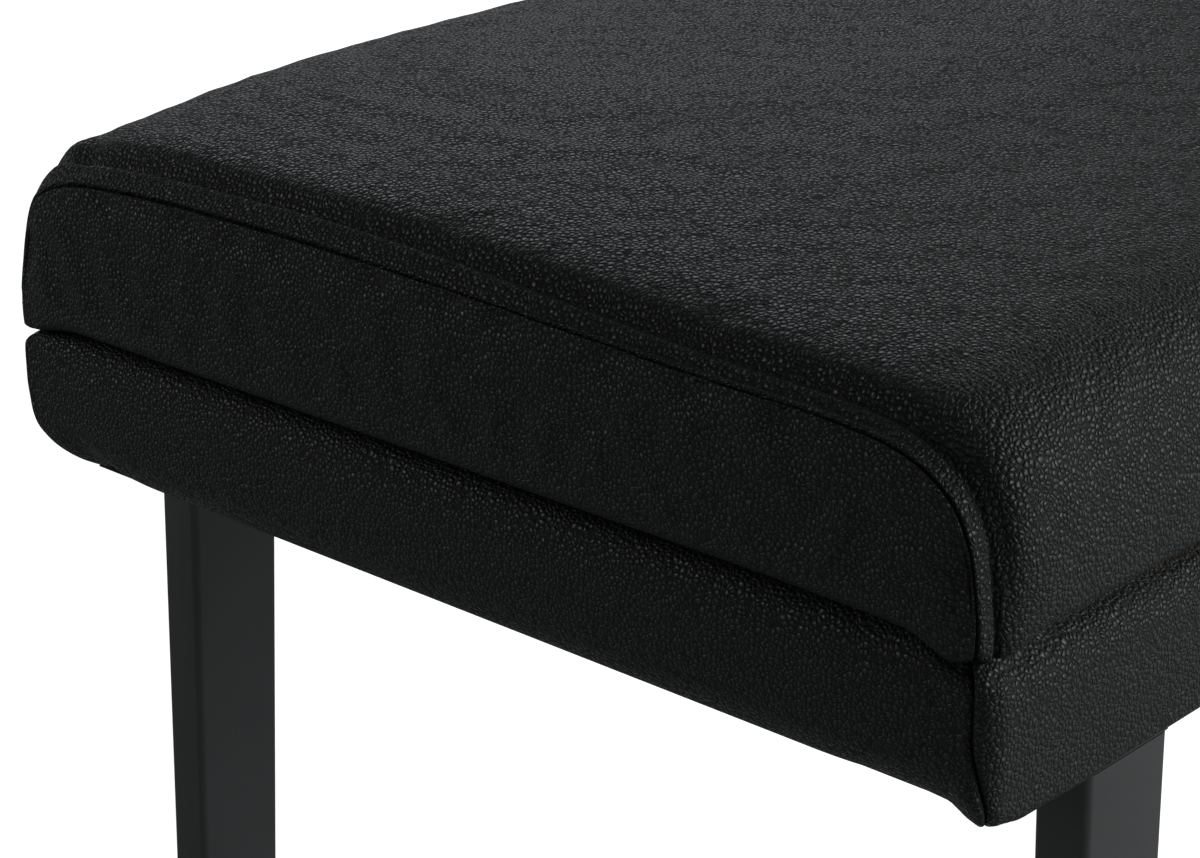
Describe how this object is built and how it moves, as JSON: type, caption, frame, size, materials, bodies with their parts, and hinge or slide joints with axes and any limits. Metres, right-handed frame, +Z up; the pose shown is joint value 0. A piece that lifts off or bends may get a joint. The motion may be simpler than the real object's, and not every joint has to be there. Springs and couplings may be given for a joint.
{
  "type": "piano bench",
  "caption": "Upholstered piano bench: crowned leather seat hinged over a shallow music compartment, padded band, tapered flat legs.",
  "frame": {"origin": "on the floor under the middle of the bench", "axes": "+X along the bench to the right-hand end, +Y from the front to the hinged rear, +Z up"},
  "size_m": [0.64, 0.3648, 0.4896],
  "materials": {
    "leather": "black pebble grain, satin",
    "foam": "open-cell polyurethane foam",
    "plywood": "sanded birch plywood",
    "timber": "planed pine",
    "black_steel": "satin black powder coat",
    "zinc_steel": "zinc plated",
    "rubber": "matt",
    "black_plastic": "fine texture",
    "felt": "black needle felt",
    "nonwoven": "black spunbonded cloth"
  },
  "bodies": {
    "base": {"rail_front": "timber", "rail_rear": "timber", "rail_left": "timber", "rail_right": "timber", "bottom_panel": "plywood", "corner_block_front_left": "timber", "corner_block_rear_left": "timber", "corner_block_front_right": "timber", "corner_block_rear_right": "timber", "compartment_liner": "felt", "band_cover": "leather", "band_padding_front": "foam", "band_padding_rear": "foam", "band_padding_left": "foam", "band_padding_right": "foam", "dust_cover": "nonwoven", "leg_front_left": "black_steel", "foot_cap_front_left": "black_plastic", "leg_plate_front_left": "black_steel", "leg_bolt_front_left_1": "zinc_steel", "leg_bolt_front_left_2": "zinc_steel", "leg_rear_left": "black_steel", "foot_cap_rear_left": "black_plastic", "leg_plate_rear_left": "black_steel", "leg_bolt_rear_left_1": "zinc_steel", "leg_bolt_rear_left_2": "zinc_steel", "leg_front_right": "black_steel", "foot_cap_front_right": "black_plastic", "leg_plate_front_right": "black_steel", "leg_bolt_front_right_1": "zinc_steel", "leg_bolt_front_right_2": "zinc_steel", "leg_rear_right": "black_steel", "foot_cap_rear_right": "black_plastic", "leg_plate_rear_right": "black_steel", "leg_bolt_rear_right_1": "zinc_steel", "leg_bolt_rear_right_2": "zinc_steel", "bumper_left": "rubber", "bumper_right": "rubber", "hinge_leaf_base": "zinc_steel", "hinge_pin": "zinc_steel", "stay_bracket_base_left": "zinc_steel", "stay_bracket_base_right": "zinc_steel"},
    "lid": {"cushion_cover": "leather", "end_panel_left": "leather", "end_panel_right": "leather", "foam_core": "foam", "seat_board": "plywood", "lid_lining": "nonwoven", "hinge_leaf_lid": "zinc_steel", "stay_bracket_lid_left": "zinc_steel", "stay_bracket_lid_right": "zinc_steel"},
    "stay_lower_left": {"stay_lower_arm_left": "zinc_steel", "stay_rivet_left": "zinc_steel"},
    "stay_upper_left": {"stay_upper_arm_left": "zinc_steel"},
    "stay_lower_right": {"stay_lower_arm_right": "zinc_steel", "stay_rivet_right": "zinc_steel"},
    "stay_upper_right": {"stay_upper_arm_right": "zinc_steel"}
  },
  "joints": [
    {"name": "lid_hinge", "type": "hinge", "parent": "base", "child": "lid", "pos_m": [0, 0.1745, 0.419], "axis": [-1, 0, 0], "range_deg": [0, 80]},
    {"name": "stay_lower_left_pivot", "type": "hinge", "parent": "base", "child": "stay_lower_left", "pos_m": [0, 0.06582, 0.402], "axis": [-1, 0, 0], "range_deg": [0, 80]},
    {"name": "stay_upper_left_pivot", "type": "hinge", "parent": "lid", "child": "stay_upper_left", "pos_m": [0, 0.06466, 0.413], "axis": [-1, 0, 0], "range_deg": [-80, 0]},
    {"name": "stay_lower_right_pivot", "type": "hinge", "parent": "base", "child": "stay_lower_right", "pos_m": [0, 0.06582, 0.402], "axis": [-1, 0, 0], "range_deg": [0, 80]},
    {"name": "stay_upper_right_pivot", "type": "hinge", "parent": "lid", "child": "stay_upper_right", "pos_m": [0, 0.06466, 0.413], "axis": [-1, 0, 0], "range_deg": [-80, 0]}
  ],
  "couplings": [
    {"joint": "stay_lower_left_pivot", "follows": "lid_hinge", "ratio": 1},
    {"joint": "stay_upper_left_pivot", "follows": "lid_hinge", "ratio": -1},
    {"joint": "stay_lower_right_pivot", "follows": "lid_hinge", "ratio": 1},
    {"joint": "stay_upper_right_pivot", "follows": "lid_hinge", "ratio": -1}
  ]
}
